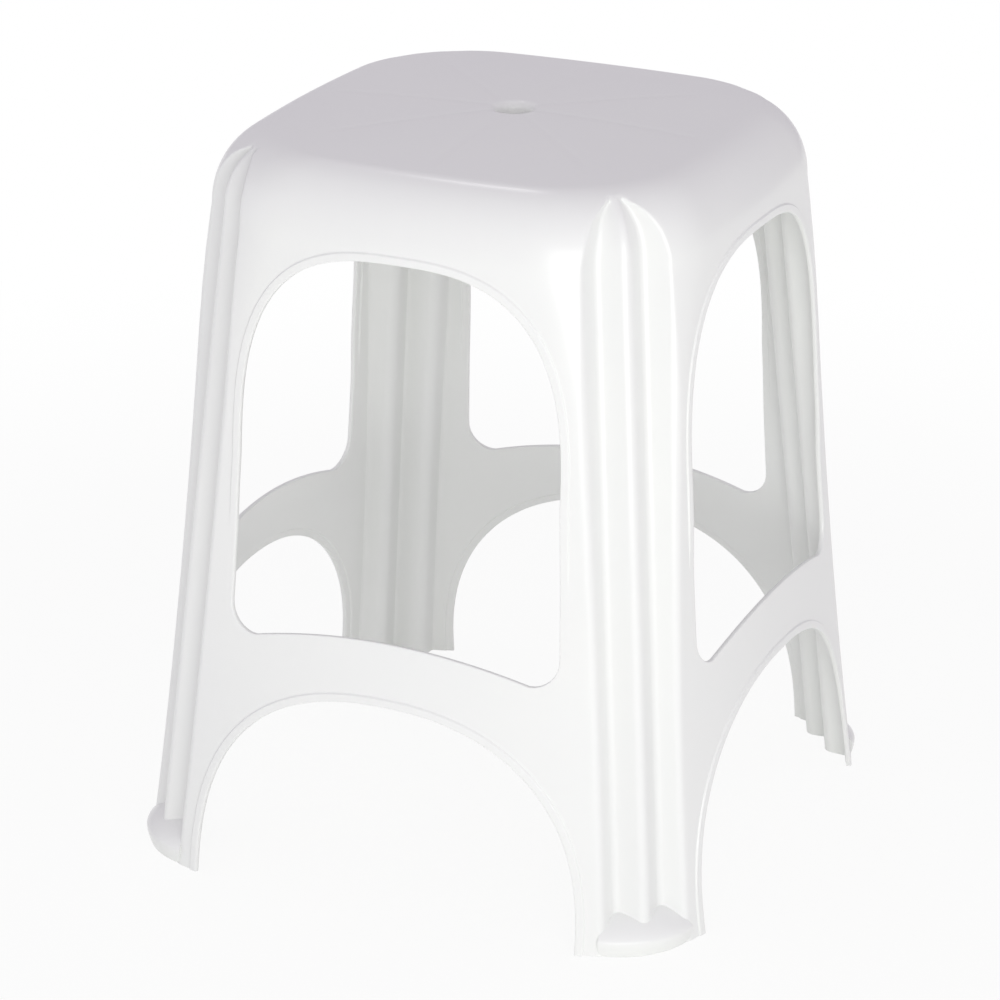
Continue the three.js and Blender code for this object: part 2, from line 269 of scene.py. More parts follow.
# Panel of one half side, as three blocks of cross lines between the openings and the panel's edges. The
# blocks meet at a knee between the window's lower corner and the arch
rim = {    # band that stands out along an opening, and the distances from it at which the mesh follows it
    "width": 5, "rise": 1, "slope": 1, "round": 0.6, "sillEnd": 215, "fade": 35, "archTop": 142,
    "loops": [0, 0.12, 0.35, 0.6, 2.4, 4.2, 4.5, 4.8, 5.2, 5.5, 5.8, 6.2],
}
panel = {
    "sillCells": 30, "sideCells": 60, "topCells": 20, "footCells": 22, "middleCells": 8, "outerCells": 3,
    "kneeHeight": 128, "relaxing": 40, "crowding": 0.4,
}


def crossLine(near, far, cells, farLoops=False):
    # a cross line leaves an opening square to it by the rim's loops, then runs on to its far end
    point, away = near
    line = [(point + away * d, d) for d in rim["loops"]]
    ending = [far] if not farLoops else [(far[0] + far[1] * d, d) for d in reversed(rim["loops"])]
    a, b = line[-1][0], ending[0][0]
    line += [(a.lerp(b, i / cells), farOff) for i in range(1, cells)]
    return line + ending


def relaxed(block, first, last):    # evens out the cells between the rim's loops and the far end
    for turn in range(panel["relaxing"]):
        for i in range(1, len(block) - 1):
            for j in range(first, last):
                around = block[i - 1][j][0] + block[i + 1][j][0] + block[i][j - 1][0] + block[i][j + 1][0]
                block[i][j] = (around / 4, block[i][j][1])
    return block


def panelBlocks():
    windowPoints, archPoints = windowOutline(), archOutline()
    # the sill ends at the middle of the window's lower corner
    sill = lengths(windowPoints)[window["sillCount"] + window["cornerCount"] // 2]
    haunch = next(length for p, length in zip(archPoints, lengths(archPoints)) if p.x > arch["haunch"])
    loops, middle, outer = len(rim["loops"]) - 1, panel["middleCells"], panel["outerCells"]

    def sidePoint(z):
        return Vector((panelEnd(z), z))

    tops = spaced(windowPoints, 0, sill, panel["sillCells"], 1)
    unders = spaced(archPoints, 0, haunch, panel["sillCells"], -1)
    stretcher = [crossLine(above, below, middle, True) for above, below in zip(tops, unders)]
    relaxed(stretcher, loops + 1, loops + middle)

    fromWindow = stretcher[-1][: loops + middle // 2 + 1]
    fromArch = stretcher[-1][::-1][: loops + middle // 2 + 1]
    knee = fromWindow[-1][0]
    kneeSide = sidePoint(panel["kneeHeight"])
    fromKnee = [(knee.lerp(kneeSide, i / outer), farOff) for i in range(1, outer + 1)]

    cells = panel["sideCells"] + panel["topCells"]
    nearSide = spaced(windowPoints, sill, lengths(windowPoints)[-1], cells, 1)
    top = shoulder + edge["rise"] * math.sin(math.radians(edge["panelTurn"]))
    corner = sidePoint(top)
    shares = [i / panel["sideCells"] for i in range(panel["sideCells"] + 1)]
    crowded = [share * (1 + panel["crowding"] * (1 - share)) for share in shares]
    heights = [panel["kneeHeight"] + (top - panel["kneeHeight"]) * share for share in crowded]
    topShares = [1 - i / panel["topCells"] for i in range(1, panel["topCells"] + 1)]
    farSide = [sidePoint(z) for z in heights] + [Vector((corner.x * share, top)) for share in topShares]
    flank = [crossLine(near, (far, farOff), middle // 2 + outer) for near, far in zip(nearSide, farSide)]
    flank[0] = fromWindow + fromKnee
    relaxed(flank, loops + 1, loops + middle // 2 + outer)

    nearFoot = spaced(archPoints, haunch, lengths(archPoints)[-1], panel["footCells"], -1)
    footHeights = [panel["kneeHeight"] * (1 - i / panel["footCells"]) for i in range(panel["footCells"] + 1)]
    foot = [crossLine(near, (sidePoint(z), farOff), middle // 2 + outer)
            for near, z in zip(nearFoot, footHeights)]
    foot[0] = fromArch + fromKnee
    relaxed(foot, loops + 1, loops + middle // 2 + outer)
    return [stretcher, flank, foot], footHeights[::-1] + heights[1:], farSide[panel["sideCells"]:][::-1]


# Lifting hole with its rolled lip, and the collar below it
hole = {
    "radius": 11, "lip": 4.5, "blend": 20, "collarWall": 2.5, "collarDepth": 10, "round": 0.5, "lipCells": 6,
    "innerShare": 0.97,    # of the blend's radius, within which the seat's underside gives way to the collar
}


def holeProfile(lipTop):    # radius and height from the seat round the lip to the seat's underside
    radius, lip, small = hole["radius"], hole["lip"], hole["round"]
    outerRadius = radius + hole["collarWall"]
    under = walls["height"] - walls["thickness"]
    bottom = under - hole["collarDepth"]
    turns = quarterTurns(hole["lipCells"])
    profile = [((hole["blend"] + radius + lip) / 2, None)]
    profile += [(radius + lip * (1 - math.sin(a)), lipTop - lip * (1 - math.cos(a))) for a in turns]
    profile += [(radius, (lipTop - lip + bottom) / 2), (radius, bottom + small)]
    profile += [(radius + small * (1 - math.cos(a)), bottom + small * (1 - math.sin(a))) for a in turns[1:]]
    profile += [(outerRadius - small * (1 - math.sin(a)), bottom + small * (1 - math.cos(a))) for a in turns]
    profile += [(outerRadius, (bottom + under) / 2), (outerRadius, under - small)]
    return profile


def eased(share):    # from nought to one with a gentle start and end
    share = max(0, min(1, share))
    return share * share * (3 - 2 * share)


def seatRings(topLine):    # rings above the panel, from the middle of the front to the corner's middle
    rings = []
    turns = list(range(edge["panelTurn"] + edge["turn"], math.ceil(edge["lastTurn"]), edge["turn"]))
    for turn in turns + [edge["lastTurn"]]:
        z = shoulder + edge["rise"] * math.sin(math.radians(turn))
        along = [point.x / topLine[-1].x * panelEnd(z) for point in topLine]
        wall = [drawnIn(Vector((x, faceAt(z, x))), z, insetAt(z)) for x in along]
        rings.append([Vector((p.x, -p.y, z)) for p in wall] + stepSection(z))
    brow = rings[-1]
    even = walls["seatReach"] - edge["reach"] + walls["thickness"]
    last = hole["blend"] / even

    def crownAt(share):
        return brow[0].z + (walls["height"] - brow[0].z) * (1 - share ** 2)

    for i in range(1, edge["crownRings"] + 1):
        share = 1 + (last - 1) * (i / edge["crownRings"]) ** edge["crownCrowding"]
        roundness = eased((1 - share) / (1 - last))
        ring = []
        for p in brow:
            direction = Vector((p.x, p.y)).normalized()
            radius = (math.hypot(p.x, p.y) * (1 - roundness) + even * roundness) * share
            ring.append(Vector((direction.x * radius, direction.y * radius, crownAt(share))))
        rings.append(ring)
    for radius, z in holeProfile(crownAt((hole["radius"] + hole["lip"]) / even)):
        height = crownAt(radius / even) if z is None else z
        ways = [Vector((p.x, p.y)).normalized().to_3d() for p in brow]
        rings.append([way * radius + Vector((0, 0, height)) for way in ways])
    return rings


def wedgeMesh():    # an eighth of the skin, from the middle of the front to the corner's middle
    points, faces, distances = [], [], []

    def addGrid(rows):
        first = len(points)
        width = len(rows[0])
        for row in rows:
            for point, distance in row:
                points.append(point * millimetre)
                distances.append(distance)
        for i in range(len(rows) - 1):
            for j in range(width - 1):
                a = first + i * width + j
                faces.append((a, a + 1, a + width + 1, a + width))

    blocks, heights, topLine = panelBlocks()
    for block in blocks:
        addGrid([[(skinAt(p.x, p.y), d) for p, d in row] for row in block])
    corner = []
    for z in heights:
        start = skinAt(panelEnd(z), z)
        corner.append([(p, farOff) for p in [start] + stepSection(z)])
    addGrid(corner)
    panelRing = [skinAt(p.x, p.y) for p in topLine] + [p for p, d in corner[-1][1:]]
    addGrid([[(p, farOff) for p in ring] for ring in [panelRing] + seatRings(topLine)])
    mesh = bpy.data.meshes.new("wedge")
    mesh.from_pydata(points, [], faces)
    mesh.attributes.new("rimDistance", "FLOAT", "POINT").data.foreach_set("value", distances)
    return mesh


# Whole skin, from the eighth by mirrors, and its thickness. Points closer than these distances are joined
joining = {"seam": 0.01, "mirror": 0.02}


def added(name, data):
    piece = bpy.data.objects.new(name, data)
    bpy.context.scene.collection.objects.link(piece)
    return piece


def selectOnly(piece):
    bpy.ops.object.select_all(action="DESELECT")
    piece.select_set(True)
    bpy.context.view_layer.objects.active = piece


def facedOutward():    # turns the faces of the mesh being edited outward, and leaves edit mode
    bpy.ops.mesh.select_all(action="SELECT")
    bpy.ops.mesh.normals_make_consistent(inside=False)
    bpy.ops.object.mode_set(mode="OBJECT")


def mirrored(piece, axes, turn=0):    # mirrors a piece about upright planes through the middle
    pivot = added("pivot", None)
    pivot.rotation_euler.z = turn
    bpy.context.view_layer.update()
    selectOnly(piece)
    modifier = piece.modifiers.new("mirror", "MIRROR")
    modifier.use_axis = axes
    modifier.mirror_object = pivot
    modifier.merge_threshold = joining["mirror"] * millimetre
    bpy.ops.object.modifier_apply(modifier=modifier.name)
    bpy.data.objects.remove(pivot)


def wholeSkin():
    skin = added("moulding", wedgeMesh())
    selectOnly(skin)
    bpy.ops.object.mode_set(mode="EDIT")
    bpy.ops.mesh.select_all(action="SELECT")
    bpy.ops.mesh.remove_doubles(threshold=joining["seam"] * millimetre)
    facedOutward()
    mirrored(skin, (True, False, False), math.radians(45))
    mirrored(skin, (True, True, False))
    return skin


def riseAt(distance, z):    # the wall stands out as a rim along an opening, but not low down in a window
    share = 1 if z < rim["archTop"] else eased((z - rim["sillEnd"]) / rim["fade"])
    return rim["rise"] * share * (1 - eased((distance - rim["width"]) / rim["slope"] + 0.5))


def roundAt(distance):    # how far the wall's rounded edge falls back
    radius = rim["round"]
    return radius - math.sqrt(radius ** 2 - (radius - distance) ** 2) if distance < radius else 0


def thickened(skin):    # the skin and its inner side, joined at the openings, the floor and the collar
    bm = bmesh.new()
    bm.from_mesh(skin.data)
    bmesh.ops.recalc_face_normals(bm, faces=bm.faces)
    topFace = max(bm.faces, key=lambda face: face.calc_center_median().z)
    if topFace.normal.z < 0:
        bmesh.ops.reverse_faces(bm, faces=bm.faces)
    bm.normal_update()
    smoothLayer = bm.verts.layers.float_vector.new("skinNormal")
    distanceLayer = bm.verts.layers.float["rimDistance"]
    openEdges = [e for e in bm.edges if e.is_boundary]
    outward = {}
    for vertex in bm.verts:
        normal = vertex.normal.copy()
        if vertex.co.z < joining["seam"] * millimetre:    # the walls' feet stay on the floor
            normal = Vector((normal.x, normal.y, 0)).normalized()
        outward[vertex] = normal
    outerVerts = list(bm.verts)
    copied = bmesh.ops.duplicate(bm, geom=bm.verts[:] + bm.edges[:] + bm.faces[:])
    innerOf = {v: copied["vert_map"][v] for v in outerVerts}
    innerFaces = [g for g in copied["geom"] if isinstance(g, bmesh.types.BMFace)]
    bmesh.ops.reverse_faces(bm, faces=innerFaces)
    for vertex in outerVerts:
        distance = vertex[distanceLayer]
        inner = innerOf[vertex]
        rise = riseAt(distance, vertex.co.z / millimetre)
        inner.co = vertex.co + outward[vertex] * (rise - walls["thickness"] + roundAt(distance)) * millimetre
        vertex.co = vertex.co + outward[vertex] * (rise - roundAt(distance)) * millimetre

    bm.normal_update()
    for vertex in bm.verts:
        vertex[smoothLayer] = vertex.normal
    collarReach = hole["blend"] * millimetre
    collarEdges = []
    for e in openEdges:
        a, b = e.verts
        if a.co.xy.length < collarReach:
            collarEdges.append(e)
        else:
            bm.faces.new((b, a, innerOf[a], innerOf[b]))
    inside = [innerOf[v] for v in outerVerts if innerOf[v].co.xy.length < hole["innerShare"] * collarReach]
    bmesh.ops.delete(bm, geom=inside, context="VERTS")
    innerEdges = [e for e in bm.edges if e.is_boundary and e not in collarEdges]
    bmesh.ops.bridge_loops(bm, edges=collarEdges + innerEdges)
    bmesh.ops.recalc_face_normals(bm, faces=bm.faces)
    print("open edges left:", sum(1 for e in bm.edges if not e.is_manifold), "faces:", len(bm.faces))
    bm.to_mesh(skin.data)
    bm.free()


moulding = wholeSkin()
thickened(moulding)
print("moulding made")


# The moulding divided into the frame's named regions. Each cut is flat and closed, and is given as an axis,
# a place on it and the side that stays
regions = {
    "footTop": 36, "seatDepth": 26, "sideInset": 14.5,
    "merge": 0.001, "onCut": 0.01, "squareness": 0.99,    # what is this near and square to a cut lies on it
}
seatCut = walls["height"] - regions["seatDepth"]
sideCut = lineAt(windowSpring) - window["headFlank"] - regions["sideInset"]
windowCut = (windowSpring + arch["rise"] + window["stretcher"]) / 2


def dividedOff(name, cuts):
    piece = added(name, moulding.data.copy())
    piece.data.name = name
    selectOnly(piece)
    bpy.ops.object.mode_set(mode="EDIT")
    for axis, place, side in cuts:
        bpy.ops.mesh.select_all(action="SELECT")
        normal = [0, 0, 0]
        normal[axis] = side
        point = [0, 0, 0]
        point[axis] = place * millimetre
        bpy.ops.mesh.bisect(plane_co=point, plane_no=normal, clear_inner=True,
                            threshold=regions["merge"] * millimetre)
        bpy.ops.mesh.select_all(action="DESELECT")
        bpy.ops.mesh.select_non_manifold(extend=False, use_wire=False, use_multi_face=False,
                                         use_non_contiguous=False, use_verts=False)
        if piece.data.total_edge_sel:    # a cut may only part whole legs
            bpy.ops.mesh.fill(use_beauty=True)
    facedOutward()
    return piece


def smoothed(piece, cuts):    # the whole skin's own shading, so that no cut shows, and flat cut faces
    mesh = piece.data
    mesh.shade_smooth()
    kept = mesh.attributes["skinNormal"].data
    flats = [(axis, place * millimetre) for axis, place, side in cuts] + [(2, 0)]
    normals = [None] * len(mesh.loops)

    def liesOn(polygon, axis, place):
        if abs(polygon.normal[axis]) <= regions["squareness"]:
            return False
        corners = [mesh.vertices[i].co[axis] for i in polygon.vertices]
        return all(abs(corner - place) < regions["onCut"] * millimetre for corner in corners)

    for polygon in mesh.polygons:
        isFlat = any(liesOn(polygon, axis, place) for axis, place in flats)
        for loop in polygon.loop_indices:
            smooth = kept[mesh.loops[loop].vertex_index].vector
            normals[loop] = polygon.normal.copy() if isFlat else smooth.copy()
    mesh.normals_split_custom_set(normals)


def quarterTurned(piece, turns, name):    # a copy of a piece, turned about the middle
    turned = added(name, piece.data.copy())
    turned.data.name = name
    rotation = Matrix.Rotation(math.pi / 2 * turns, 4, "Z")
    turned.data.transform(rotation)
    attribute = turned.data.attributes.get("skinNormal")
    if attribute:
        for item in attribute.data:
            item.vector = rotation @ item.vector
    return turned


sideNames = ["Front", "Right", "Back", "Left"]
cornerNames = ["FrontRight", "BackRight", "BackLeft", "FrontLeft"]
low, high = -1, 1
sideWays = [(0, sideCut, low), (0, -sideCut, high), (1, -sideCut, low)]
cornerWays = [(0, sideCut, high), (1, -sideCut, low)]
cutLists = {
    "seat": [(2, seatCut, high)],
    "apron": [(2, seatCut, low), (2, windowCut, high)] + sideWays,
    "stretcher": [(2, windowCut, low)] + sideWays,
    "leg": [(2, seatCut, low), (2, regions["footTop"], high)] + cornerWays,
    "foot": [(2, regions["footTop"], low)] + cornerWays,
}
pieces = {}
for form, cuts in cutLists.items():
    firstPiece = dividedOff(form, cuts)
    names = {"seat": [""], "apron": sideNames, "stretcher": sideNames}.get(form, cornerNames)
    for turns, place in enumerate(names):
        piece = quarterTurned(firstPiece, turns, form + place)
        turnedCuts = []
        for axis, cutPlace, side in cuts:
            flat = Vector((0, 0, 0))
            flat[axis] = cutPlace
            flat.rotate(Matrix.Rotation(math.pi / 2 * turns, 3, "Z"))
            turnedAxis = max(range(3), key=lambda k: abs(flat[k]))
            turnedCuts.append((turnedAxis, flat[turnedAxis], side))
        smoothed(piece, turnedCuts)
        pieces[form + place] = piece
    bpy.data.objects.remove(firstPiece)
bpy.data.objects.remove(moulding)
print("moulding divided:", len(pieces), "pieces")


def nodeName(name):    # legFrontRight stands for the frame's leg_front_right
    return "seat_panel" if name == "seat" else "".join("_" + c.lower() if c.isupper() else c for c in name)


for name, piece in pieces.items():
    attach(piece, "root")
    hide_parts(nodeName(name))


# Ribs under the seat, from the collar outwards
ribs = {
    "count": 8, "thickness": 2.2, "depth": 9, "inset": 29.8, "bury": 1, "cells": 12, "cornerReach": 150,
    "bevel": 0.3, "bevelCells": 2, "smoothAngle": 30,
}


def seatRibs():
    under = walls["height"] - walls["thickness"]
    middle = under - ribs["depth"] / 2
    start = hole["radius"] + hole["collarWall"] / 2
    end = walls["seatReach"] - ribs["inset"]
    made = []
    for i in range(ribs["count"]):
        bpy.ops.object.select_all(action="DESELECT")
        place = ((start + end) / 2 * millimetre, 0, middle * millimetre)
        bpy.ops.mesh.primitive_cube_add(size=1, location=place)
        rib = bpy.context.object
        rib.scale = ((end - start) * millimetre, ribs["thickness"] * millimetre, ribs["depth"] * millimetre)
        bpy.ops.object.transform_apply(location=True, rotation=True, scale=True)
        bpy.ops.object.mode_set(mode="EDIT")
        bpy.ops.mesh.select_all(action="SELECT")
        bpy.ops.mesh.bevel(offset=ribs["bevel"] * millimetre, segments=ribs["bevelCells"], affect="EDGES")
        for k in range(1, ribs["cells"]):
            bpy.ops.mesh.select_all(action="SELECT")
            cut = (start + (end - start) * k / ribs["cells"]) * millimetre
            bpy.ops.mesh.bisect(plane_co=(cut, 0, 0), plane_no=(1, 0, 0))
        bpy.ops.object.mode_set(mode="OBJECT")
        reach = ribs["cornerReach"] if i % 2 else walls["seatReach"] - edge["reach"] + walls["thickness"]
        for vertex in rib.data.vertices:    # the top follows the crown, sunk into the seat's wall
            if vertex.co.z > middle * millimetre:
                fall = edge["crown"] * (vertex.co.x / millimetre / reach) ** 2
                vertex.co.z += (ribs["bury"] - fall) * millimetre
        rib.rotation_euler.z = 2 * math.pi * i / ribs["count"]
        bpy.ops.object.transform_apply(location=False, rotation=True, scale=False)
        made.append(rib)
    bpy.ops.object.select_all(action="DESELECT")
    for rib in made:
        rib.select_set(True)
    bpy.context.view_layer.objects.active = made[0]
    bpy.ops.object.join()
    joined = bpy.context.object
    joined.name = "seatRibs"
    bpy.ops.object.shade_smooth_by_angle(angle=math.radians(ribs["smoothAngle"]))
    return joined


ribPiece = seatRibs()
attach(ribPiece, "root")
print("ribs made")

# Rounded cup round the outer corner of each foot, hollow in the notches and open to the floor
cup = {
    "inset": 12, "lead": 3, "radius": 52.5, "belly": 9.5, "tuck": 2.3, "domeRise": 12, "domeReach": 20,
    "domeShare": 1.4, "wall": 2.5, "bury": 1.5, "top": 40, "below": 6, "roundCells": 128, "domeCells": 10,
    "tuckCells": 4, "smoothAngle": 28,
    "coreHeights": [0, 6, 12, 18, 24, 32],    # at which the leg's section is taken
}


def cupDome(inset, floor):    # the whole round body of a cup, drawn in by an inset, from a floor height up
    centre = floorLine - cup["inset"]
    radius = cup["radius"] - inset
    dome = [(radius - cup["domeReach"] * (1 - p.x), cup["belly"] + (cup["domeRise"] - inset) * p.y)
            for p in superellipse(1, 1, cup["domeShare"], cup["domeShare"], cup["domeCells"])]
    tuck = [(radius - cup["tuck"] * (1 - math.sin(a)), cup["belly"] * i / cup["tuckCells"])
            for i, a in enumerate(quarterTurns(cup["tuckCells"])[:-1])]
    profile = [(radius - cup["tuck"], floor)] + tuck[0 if floor < 0 else 1:] + dome

    def centreAt(z):
        return Vector((centre, -centre, z)) * millimetre

    bpy.ops.object.select_all(action="DESELECT")
    bpy.ops.mesh.primitive_circle_add(vertices=cup["roundCells"], radius=profile[0][0] * millimetre,
                                      fill_type="NGON", location=centreAt(floor))
    piece = bpy.context.object
    bpy.ops.object.transform_apply(location=True, rotation=False, scale=False)
    bpy.ops.object.mode_set(mode="EDIT")
    bpy.ops.mesh.select_all(action="SELECT")
    for (reach, z), (nextReach, nextZ) in zip(profile, profile[1:]):
        growth = nextReach / reach
        bpy.ops.mesh.extrude_region_move(TRANSFORM_OT_translate={"value": (0, 0, (nextZ - z) * millimetre)})
        bpy.ops.transform.resize(value=(growth, growth, 1), center_override=centreAt(nextZ))
    facedOutward()
    return piece


def boxBetween(start, end):
    bpy.ops.object.select_all(action="DESELECT")
    bpy.ops.mesh.primitive_cube_add(size=1, location=(Vector(start) + Vector(end)) / 2 * millimetre)
    box = bpy.context.object
    box.scale = (Vector(end) - Vector(start)) * millimetre
    bpy.ops.object.transform_apply(location=True, rotation=True, scale=True)
    return box


def wallCore(depth):    # closed solid inside the foot's skin, sunk by a depth
    rows = []
    for z in [-2 * cup["below"]] + cup["coreHeights"] + [2 * cup["top"]]:
        level = max(z, 0)
        half = [skinAt(core, level), skinAt(panelEnd(level), level)] + stepSection(level)
        outline = [Vector((p.x, p.y)) for p in half]
        outline += [Vector((-p.y, -p.x)) for p in reversed(outline[:-1])]
        sunk = []
        for i, p in enumerate(outline):
            ahead = outline[min(i + 1, len(outline) - 1)] - outline[max(i - 1, 0)]
            sunk.append(p + Vector((-ahead.y, ahead.x)).normalized() * depth)
        sunk.append(Vector((core, -core)))
        rows.append([Vector((p.x, p.y, z)) * millimetre for p in sunk])
    count = len(rows[0])
    points = [p for row in rows for p in row]
    faces = [tuple(range(count)), tuple(range((len(rows) - 1) * count, len(rows) * count))]
    for i in range(len(rows) - 1):
        for j in range(count):
            a, b = i * count + j, i * count + (j + 1) % count
            faces.append((a, b, b + count, a + count))
    mesh = bpy.data.meshes.new("wallCore")
    mesh.from_pydata(points, [], faces)
    piece = added("wallCore", mesh)
    selectOnly(piece)
    bpy.ops.object.mode_set(mode="EDIT")
    facedOutward()
    return piece


def combined(piece, tool, operation):    # cuts a piece by a tool, or keeps only what both hold
    selectOnly(piece)
    modifier = piece.modifiers.new("cut", "BOOLEAN")
    modifier.operation = operation
    modifier.object = tool
    modifier.solver = "EXACT"
    bpy.ops.object.modifier_apply(modifier=modifier.name)
    bpy.data.objects.remove(tool)


def footCup():    # the dome outside the walls, with a hollow cell in each notch
    far = walls["floorReach"] + cup["below"]
    lead = floorLine - cup["lead"]
    near = floorLine + steps["rootRadius"]
    wide = floorLine + steps["run"] - steps["rootRadius"]
    piece = cupDome(0, 0)
    combined(piece, boxBetween((lead, -far, -cup["below"]), (far, -lead, cup["top"])), "INTERSECT")
    combined(piece, wallCore(cup["bury"]), "DIFFERENCE")
    for start, end in (((near, -far), (wide, -near)), ((near, -wide), (far, -near))):
        cell = cupDome(cup["wall"], -cup["below"])
        box = boxBetween((start[0], start[1], -2 * cup["below"]), (end[0], end[1], cup["top"]))
        combined(cell, box, "INTERSECT")
        combined(cell, wallCore(0), "DIFFERENCE")
        combined(piece, cell, "DIFFERENCE")
    selectOnly(piece)
    bpy.ops.object.shade_smooth_by_angle(angle=math.radians(cup["smoothAngle"]))
    return piece


firstCup = footCup()
cups = [quarterTurned(firstCup, turns, "footCup" + place) for turns, place in enumerate(cornerNames)]
bpy.data.objects.remove(firstCup)
for piece, place in zip(cups, cornerNames):
    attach(piece, "root")
print("foot cups made")


# Shader maths

class Wire:    # a socket of a node tree, on which sums can be written
    def __init__(self, tree, socket):
        self.tree = tree
        self.socket = socket

    def node(self, kind, settings, inputs, output=0):    # any node, its settings first and then its sockets
        made = self.tree.nodes.new(kind)
        for name, value in settings.items():
            setattr(made, name, value)
        for name, value in inputs.items():
            if isinstance(value, Wire):
                self.tree.links.new(value.socket, made.inputs[name])
            else:
                made.inputs[name].default_value = value
        return Wire(self.tree, made.outputs[output])

    def math(self, operation, other):
        return self.node("ShaderNodeMath", {"operation": operation}, {0: self, 1: other})

    def length(self):
        return self.node("ShaderNodeVectorMath", {"operation": "LENGTH"}, {0: self}, 1)

    def stepBetween(self, start, end, first=0.0, last=1.0):    # an eased step from first to last
        return self.node("ShaderNodeMapRange", {"interpolation_type": "SMOOTHSTEP"},
                         {"Value": self, "From Min": start, "From Max": end, "To Min": first, "To Max": last})

    def mixed(self, first, second):    # of two colours, by this share
        return self.node("ShaderNodeMix", {"data_type": "RGBA"}, {"Factor": self, 6: first, 7: second}, 2)

    def __add__(self, other):
        return self.math("ADD", other)

    __radd__ = __add__

    def __sub__(self, other):
        return self.math("SUBTRACT", other)

    def __mul__(self, other):
        return self.math("MULTIPLY", other)

    __rmul__ = __mul__

    def __abs__(self):
        return self.node("ShaderNodeMath", {"operation": "ABSOLUTE"}, {0: self})


plastic = {    # noise scales are per metre, heights and places are in millimetres
    "colour": (0.865, 0.872, 0.85, 1), "shade": (0.84, 0.85, 0.84, 1), "cloudScale": 9, "cloudDetail": 3,
    "roughness": 0.32, "wearScale": 70, "wearRoughness": 0.03, "cloudRoughness": 0.03,
    "peelScale": 260, "peelHeight": 0.001, "fineDetail": 2,
    "waveScale": 16, "waveHeight": 0.05, "waveDetail": 1,
    "sinkDepth": 0.25, "sinkWidth": 5, "sinkReach": (105, 128), "sinkFloor": (439.5, 443.5),
    "ior": 1.49, "coat": 0.25, "coatRoughness": 0.12,
}


def plasticMaterial():
    material = bpy.data.materials.new("whitePolypropylene")
    material.use_nodes = True
    tree = material.node_tree
    shader = tree.nodes["Principled BSDF"]
    place = Wire(tree, tree.nodes.new("ShaderNodeTexCoord").outputs["Object"])

    def noise(scale, detail):
        return place.node("ShaderNodeTexNoise", {}, {"Vector": place, "Scale": scale, "Detail": detail})

    cloud = noise(plastic["cloudScale"], plastic["cloudDetail"])
    tree.links.new(cloud.mixed(plastic["colour"], plastic["shade"]).socket, shader.inputs["Base Color"])

    wear = noise(plastic["wearScale"], plastic["fineDetail"])
    roughness = plastic["roughness"] + plastic["wearRoughness"] * (wear - 0.5)
    roughness += plastic["cloudRoughness"] * (cloud - 0.5)
    tree.links.new(roughness.socket, shader.inputs["Roughness"])

    # sink lines on the seat over the ribs. Two ribs lie on each line through the middle
    x = place.node("ShaderNodeSeparateXYZ", {}, {"Vector": place})
    y, z = (Wire(tree, x.socket.node.outputs[name]) for name in "YZ")
    lineCount = ribs["count"] // 2
    angles = [math.pi / lineCount * k for k in range(lineCount)]
    distances = [abs(math.sin(angle) * x - math.cos(angle) * y) for angle in angles]
    apart = distances[0]
    for distance in distances[1:]:
        apart = apart.math("MINIMUM", distance)
    onLine = apart.stepBetween(0.0, plastic["sinkWidth"] * millimetre, 1.0, 0.0)
    out = place.node("ShaderNodeCombineXYZ", {}, {"X": x, "Y": y, "Z": 0.0}).length()
    within = out.stepBetween(*[reach * millimetre for reach in plastic["sinkReach"]], 1.0, 0.0)
    onTop = z.stepBetween(*[level * millimetre for level in plastic["sinkFloor"]])
    sink = onLine * within * onTop * (-plastic["sinkDepth"])
    peel = plastic["peelHeight"] * noise(plastic["peelScale"], plastic["fineDetail"])
    wave = plastic["waveHeight"] * noise(plastic["waveScale"], plastic["waveDetail"])
    height = sink + peel + wave
    bump = place.node("ShaderNodeBump", {}, {"Height": height, "Distance": millimetre, "Strength": 1.0})
    tree.links.new(bump.socket, shader.inputs["Normal"])
    shader.inputs["IOR"].default_value = plastic["ior"]
    shader.inputs["Coat Weight"].default_value = plastic["coat"]
    shader.inputs["Coat Roughness"].default_value = plastic["coatRoughness"]
    return material


mouldedPlastic = plasticMaterial()
for piece in list(pieces.values()) + [ribPiece] + cups:
    piece.data.materials.clear()
    piece.data.materials.append(mouldedPlastic)
print("material made")

# Floor, lights and camera. The floor is white to the camera from the fade's far end outwards
stage = {    # lengths in metres
    "floorSize": 6, "floorDrop": 0.0002, "floorColour": (0.93, 0.95, 0.9, 1), "floorRoughness": 0.7,
    "floorSheen": 0.1, "whiteness": 0.9, "fade": (0.45, 1.1), "ambient": (0.612, 0.584, 0.63, 1),
}
lights = {    # azimuth and elevation of each softbox, its distance and size in metres, its power and colour
    "key": (32, 1.5, 1.9, 1.5, 22.8, (0.98, 1.0, 0.972)),
    "fill": (-66, 12, 2.6, 1.6, 4.2, (0.92, 1.0, 0.995)),
    "streak": (-143, 57, 2.2, 0.3, 1.3, (1.0, 0.98, 1.0)),
}
view = {    # angles in degrees, the focal length in pixels of a frame this wide, clip distances in metres
    "azimuth": 24.305, "elevation": 21.111, "distance": 2402.3, "focal": 3902.5, "frame": 1000,
    "yaw": 0.1655, "pitch": -0.587, "roll": -0.399, "sensor": 36, "clip": (0.1, 20),
}
lookedAt = Vector((0, 0, walls["height"] / 2))
white = (1, 1, 1, 1)


def direction(azimuth, elevation):    # from the stool, turned from the front towards the right
    a, e = math.radians(azimuth), math.radians(elevation)
    return Vector((math.sin(a) * math.cos(e), -math.cos(a) * math.cos(e), math.sin(e)))


def seenBy(tree, ray):    # one for the camera's rays and for another kind of ray, else nought
    path = tree.nodes.new("ShaderNodeLightPath")
    return Wire(tree, path.outputs["Is Camera Ray"]).math("MAXIMUM", Wire(tree, path.outputs[ray]))


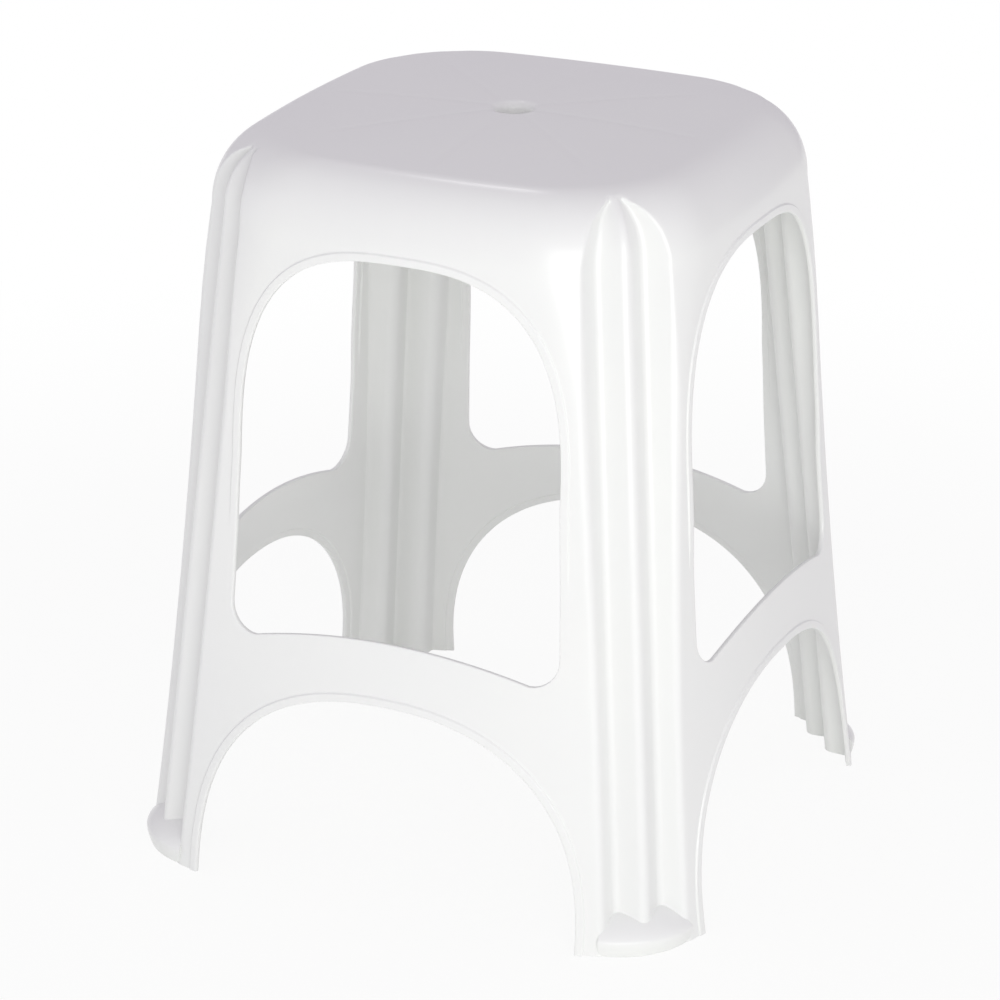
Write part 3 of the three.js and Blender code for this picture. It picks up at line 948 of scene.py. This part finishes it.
def makeFloor():
    bpy.ops.object.select_all(action="DESELECT")
    bpy.ops.mesh.primitive_plane_add(size=stage["floorSize"], location=(0, 0, -stage["floorDrop"]))
    floor = bpy.context.object
    floor.name = "floor"
    material = bpy.data.materials.new("paleFloor")
    material.use_nodes = True
    tree = material.node_tree
    shader = tree.nodes["Principled BSDF"]
    shader.inputs["Base Color"].default_value = stage["floorColour"]
    shader.inputs["Roughness"].default_value = stage["floorRoughness"]
    shader.inputs["Specular IOR Level"].default_value = stage["floorSheen"]
    place = Wire(tree, tree.nodes.new("ShaderNodeTexCoord").outputs["Object"])
    whiteness = stage["whiteness"] + (1 - stage["whiteness"]) * place.length().stepBetween(*stage["fade"])
    glow = tree.nodes.new("ShaderNodeEmission")
    glow.inputs["Color"].default_value = white
    mix = tree.nodes.new("ShaderNodeMixShader")
    tree.links.new((whiteness * seenBy(tree, "Is Glossy Ray")).socket, mix.inputs[0])
    tree.links.new(shader.outputs[0], mix.inputs[1])
    tree.links.new(glow.outputs[0], mix.inputs[2])
    tree.links.new(mix.outputs[0], tree.nodes["Material Output"].inputs["Surface"])
    floor.data.materials.append(material)


def makeWorld():
    world = bpy.data.worlds.new("studio")
    bpy.context.scene.world = world
    world.use_nodes = True
    tree = world.node_tree
    colour = seenBy(tree, "Is Transmission Ray").mixed(stage["ambient"], white)
    tree.links.new(colour.socket, tree.nodes["Background"].inputs["Color"])


def makeLights():
    target = lookedAt * millimetre
    for name, (azimuth, elevation, distance, size, power, colour) in lights.items():
        data = bpy.data.lights.new(name, "AREA")
        data.shape = "SQUARE"
        data.size = size
        data.energy = power
        data.color = colour
        lamp = added(name, data)
        lamp.location = target + direction(azimuth, elevation) * distance
        lamp.rotation_euler = (target - lamp.location).to_track_quat("-Z", "Y").to_euler()


def makeCamera():
    back = direction(view["azimuth"], view["elevation"])
    place = lookedAt + back * view["distance"]
    ahead = -back
    right = ahead.cross(Vector((0, 0, 1))).normalized()
    up = right.cross(ahead)
    yaw = Matrix.Rotation(math.radians(view["yaw"]), 3, up)
    ahead, right = yaw @ ahead, yaw @ right
    pitch = Matrix.Rotation(math.radians(view["pitch"]), 3, right)
    ahead, up = pitch @ ahead, pitch @ up
    roll = Matrix.Rotation(math.radians(view["roll"]), 3, ahead)
    right, up = roll @ right, roll @ up
    data = bpy.data.cameras.new("camera")
    data.sensor_width = view["sensor"]
    data.lens = view["focal"] * data.sensor_width / view["frame"]
    data.clip_start, data.clip_end = view["clip"]
    camera = added("camera", data)
    axes = Matrix((right, up, -ahead)).transposed().to_4x4()
    camera.matrix_world = Matrix.Translation(place * millimetre) @ axes
    bpy.context.scene.camera = camera


makeFloor()
makeWorld()
makeLights()
makeCamera()
bpy.context.scene.view_settings.view_transform = "Standard"
print("stage made")

bpy.context.view_layer.update()
